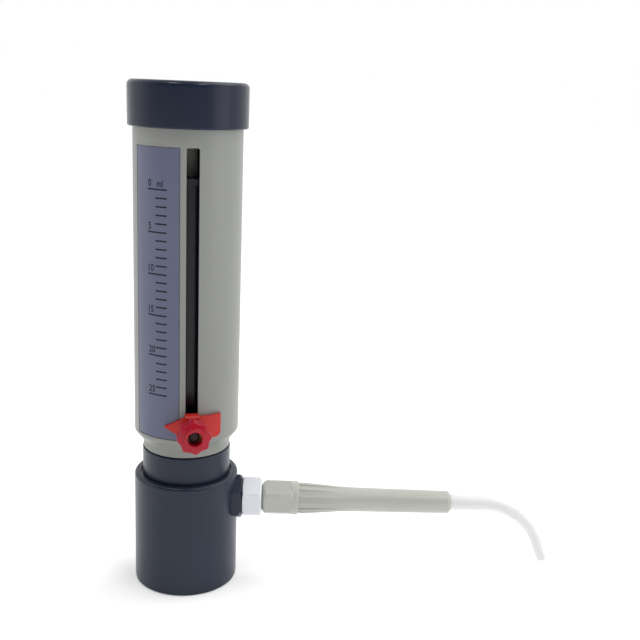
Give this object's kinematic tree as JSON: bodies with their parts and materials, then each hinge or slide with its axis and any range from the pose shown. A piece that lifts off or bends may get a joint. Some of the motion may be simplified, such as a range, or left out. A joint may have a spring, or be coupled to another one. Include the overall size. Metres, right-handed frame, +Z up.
{
  "type": "bottle-top dispenser",
  "caption": "Bottle-top dispenser: a slotted sleeve slides on a column over a threaded base, a clamped pointer sets the volume, and a side nozzle ends in a bent spout.",
  "frame": {"origin": "centre of the open bottom end of the skirt, on the axis of the bottle thread", "axes": "+Z up along the column and the bottle's axis, +X along the discharge nozzle, the slot faces -Y turned 11.85 degrees towards +X"},
  "size_m": [0.1866, 0.0606, 0.2136],
  "materials": {
    "navy_plastic": "glossy moulded, dark navy",
    "cap_plastic": "glossy moulded, dark navy",
    "column_plastic": "glossy, near black",
    "sleeve_plastic": "satin, warm light grey",
    "scale_film": "satin blue-grey film with near-black marks",
    "crimson_plastic": "glossy crimson",
    "orange_red_plastic": "glossy orange-red",
    "white_plastic": "smooth white",
    "nozzle_plastic": "smooth greenish light grey",
    "milky_tube": "translucent milky white",
    "borosilicate": "clear",
    "piston_plastic": "white, low friction",
    "steel": "stainless",
    "brass_insert": "turned",
    "seal_rubber": "black",
    "ceramic": "polished ceramic white"
  },
  "bodies": {
    "base": {"valve_block": "navy_plastic", "bottle_gasket": "seal_rubber", "inlet_valve_body": "piston_plastic", "inlet_cage": "piston_plastic", "outlet_seat": "piston_plastic", "outlet_guide": "piston_plastic", "outlet_spring": "steel", "outlet_gasket": "seal_rubber", "neck_collar": "navy_plastic", "guide_column": "column_plastic", "stop_ring": "column_plastic", "glass_barrel": "borosilicate", "barrel_seal": "seal_rubber"},
    "inlet_ball": {"inlet_ball": "ceramic"},
    "outlet_ball": {"outlet_ball": "ceramic"},
    "piston": {"piston_head": "piston_plastic", "piston_seals": "seal_rubber", "piston_screw": "steel", "piston_rod": "piston_plastic", "rod_washer": "steel", "rod_nut": "steel"},
    "sleeve": {"outer_sleeve": "sleeve_plastic", "scale_panel": "scale_film", "drive_plate": "sleeve_plastic", "cap": "cap_plastic"},
    "pointer": {"pointer_plate": "orange_red_plastic", "clamp_stud": "steel"},
    "knob": {"clamp_knob": "crimson_plastic", "knob_insert": "brass_insert"},
    "union_nut": {"union_nut": "white_plastic"},
    "nozzle": {"nozzle_body": "nozzle_plastic", "discharge_tube": "milky_tube"}
  },
  "joints": [
    {"name": "sleeve_lift", "type": "slide", "parent": "base", "child": "piston", "axis": [0, 0, 1], "range_m": [0, 0.0957]},
    {"name": "sleeve_turn", "type": "hinge", "parent": "piston", "child": "sleeve", "pos_m": [0, 0, 0.1], "axis": [0, 0, 1], "continuous": true},
    {"name": "pointer_set", "type": "slide", "parent": "sleeve", "child": "pointer", "axis": [0, 0, 1], "range_m": [0, 0.0957]},
    {"name": "knob_turn", "type": "hinge", "parent": "pointer", "child": "knob", "pos_m": [0.00647, -0.03083, 0.077], "axis": [0.2053, -0.9787, 0], "range_deg": [0, 360]},
    {"name": "nut_turn", "type": "hinge", "parent": "base", "child": "union_nut", "pos_m": [0.029, 0, 0.0369], "axis": [1, 0, 0], "range_deg": [0, 90]},
    {"name": "nozzle_swivel", "type": "hinge", "parent": "base", "child": "nozzle", "pos_m": [0.034, 0, 0.0369], "axis": [1, 0, 0], "continuous": true},
    {"name": "inlet_ball_lift", "type": "slide", "parent": "base", "child": "inlet_ball", "axis": [0, 0, 1], "range_m": [0, 0.0012]},
    {"name": "outlet_ball_open", "type": "slide", "parent": "base", "child": "outlet_ball", "axis": [1, 0, 0], "range_m": [0, 0.0012], "stiffness_N_per_m": 40, "springref_m": -0.0015, "deforming": ["outlet_spring"]}
  ]
}
